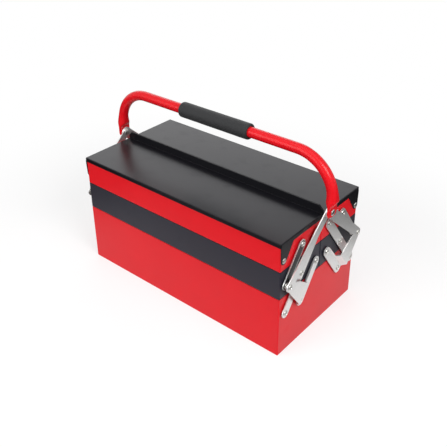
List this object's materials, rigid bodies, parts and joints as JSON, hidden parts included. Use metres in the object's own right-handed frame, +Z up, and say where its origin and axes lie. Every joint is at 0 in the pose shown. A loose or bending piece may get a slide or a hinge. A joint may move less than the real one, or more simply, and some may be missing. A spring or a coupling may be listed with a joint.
{
  "type": "cantilever tool box",
  "caption": "Folded steel tool box whose side trays swing out on end linkages, with two hinged lids and a bent tube handle with a foam grip.",
  "frame": {"origin": "middle of the footprint, on the surface that the box stands on", "axes": "+X along the length, +Y from the front to the rear, +Z up"},
  "size_m": [0.5016, 0.2276, 0.3367],
  "materials": {
    "red_paint": "satin powder coat",
    "charcoal_paint": "satin powder coat",
    "black_paint": "satin powder coat",
    "handle_paint": "gloss paint",
    "zinc_steel": "bright zinc plate",
    "rivet_steel": "bright zinc plate",
    "grip_foam": "fine foam"
  },
  "bodies": {
    "base": {"base_box": "red_paint", "base_rivets_front": "rivet_steel", "base_rivets_rear": "rivet_steel"},
    "front_levers": {"long_lever_front_left": "zinc_steel", "long_lever_front_right": "zinc_steel"},
    "front_plates": {"cantilever_plate_front_left": "zinc_steel", "cantilever_plate_front_right": "zinc_steel", "plate_studs_front": "rivet_steel"},
    "front_mid": {"mid_tray_front": "charcoal_paint", "mid_rivets_front": "rivet_steel"},
    "front_links": {"upper_link_front_left": "zinc_steel", "upper_link_front_right": "zinc_steel"},
    "front_upper": {"upper_tray_front": "red_paint", "upper_rivets_front": "rivet_steel", "lid_rivets_front": "rivet_steel"},
    "front_lid": {"lid_front": "black_paint"},
    "rear_levers": {"long_lever_rear_left": "zinc_steel", "long_lever_rear_right": "zinc_steel"},
    "rear_plates": {"cantilever_plate_rear_left": "zinc_steel", "cantilever_plate_rear_right": "zinc_steel", "plate_studs_rear": "rivet_steel", "handle_rivets": "rivet_steel", "handle_washers": "rivet_steel"},
    "rear_mid": {"mid_tray_rear": "charcoal_paint", "mid_rivets_rear": "rivet_steel"},
    "rear_links": {"upper_link_rear_left": "zinc_steel", "upper_link_rear_right": "zinc_steel"},
    "rear_upper": {"upper_tray_rear": "red_paint", "upper_rivets_rear": "rivet_steel", "lid_rivets_rear": "rivet_steel"},
    "rear_lid": {"lid_rear": "black_paint"},
    "handle": {"handle_tube": "handle_paint", "handle_grip": "grip_foam"}
  },
  "joints": [
    {"name": "front_fold", "type": "hinge", "parent": "base", "child": "front_levers", "pos_m": [0, -0.0995, 0.084], "axis": [1, 0, 0], "range_deg": [0, 70]},
    {"name": "front_plate_swing", "type": "hinge", "parent": "base", "child": "front_plates", "pos_m": [0, -0.0575, 0.084], "axis": [1, 0, 0], "range_deg": [0, 70]},
    {"name": "front_mid_level", "type": "hinge", "parent": "front_levers", "child": "front_mid", "pos_m": [0, -0.0585, 0.14], "axis": [1, 0, 0], "range_deg": [-70, 0]},
    {"name": "front_upper_level", "type": "hinge", "parent": "front_levers", "child": "front_upper", "pos_m": [0, -0.0175, 0.196], "axis": [1, 0, 0], "range_deg": [-70, 0]},
    {"name": "front_link_swing", "type": "hinge", "parent": "front_mid", "child": "front_links", "pos_m": [0, -0.1005, 0.14], "axis": [1, 0, 0], "range_deg": [0, 70]},
    {"name": "front_lid_hinge", "type": "hinge", "parent": "front_upper", "child": "front_lid", "pos_m": [0, -0.1055, 0.1885], "axis": [1, 0, 0], "range_deg": [0, 135]},
    {"name": "rear_fold", "type": "hinge", "parent": "base", "child": "rear_levers", "pos_m": [0, 0.0995, 0.084], "axis": [-1, 0, 0], "range_deg": [0, 70]},
    {"name": "rear_plate_swing", "type": "hinge", "parent": "base", "child": "rear_plates", "pos_m": [0, 0.0575, 0.084], "axis": [-1, 0, 0], "range_deg": [0, 70]},
    {"name": "rear_mid_level", "type": "hinge", "parent": "rear_levers", "child": "rear_mid", "pos_m": [0, 0.0585, 0.14], "axis": [-1, 0, 0], "range_deg": [-70, 0]},
    {"name": "rear_upper_level", "type": "hinge", "parent": "rear_levers", "child": "rear_upper", "pos_m": [0, 0.0175, 0.196], "axis": [-1, 0, 0], "range_deg": [-70, 0]},
    {"name": "rear_link_swing", "type": "hinge", "parent": "rear_mid", "child": "rear_links", "pos_m": [0, 0.1005, 0.14], "axis": [-1, 0, 0], "range_deg": [0, 70]},
    {"name": "rear_lid_hinge", "type": "hinge", "parent": "rear_upper", "child": "rear_lid", "pos_m": [0, 0.1055, 0.1885], "axis": [-1, 0, 0], "range_deg": [0, 135]},
    {"name": "handle_swing", "type": "hinge", "parent": "rear_plates", "child": "handle", "pos_m": [0, 0, 0.231], "axis": [1, 0, 0], "range_deg": [0, 105]}
  ],
  "couplings": [
    {"joint": "front_plate_swing", "follows": "front_fold", "ratio": 1},
    {"joint": "front_mid_level", "follows": "front_fold", "ratio": -1},
    {"joint": "front_upper_level", "follows": "front_fold", "ratio": -1},
    {"joint": "front_link_swing", "follows": "front_fold", "ratio": 1},
    {"joint": "rear_plate_swing", "follows": "rear_fold", "ratio": 1},
    {"joint": "rear_mid_level", "follows": "rear_fold", "ratio": -1},
    {"joint": "rear_upper_level", "follows": "rear_fold", "ratio": -1},
    {"joint": "rear_link_swing", "follows": "rear_fold", "ratio": 1},
    {"joint": "handle_swing", "follows": "rear_fold", "ratio": 1.5}
  ]
}
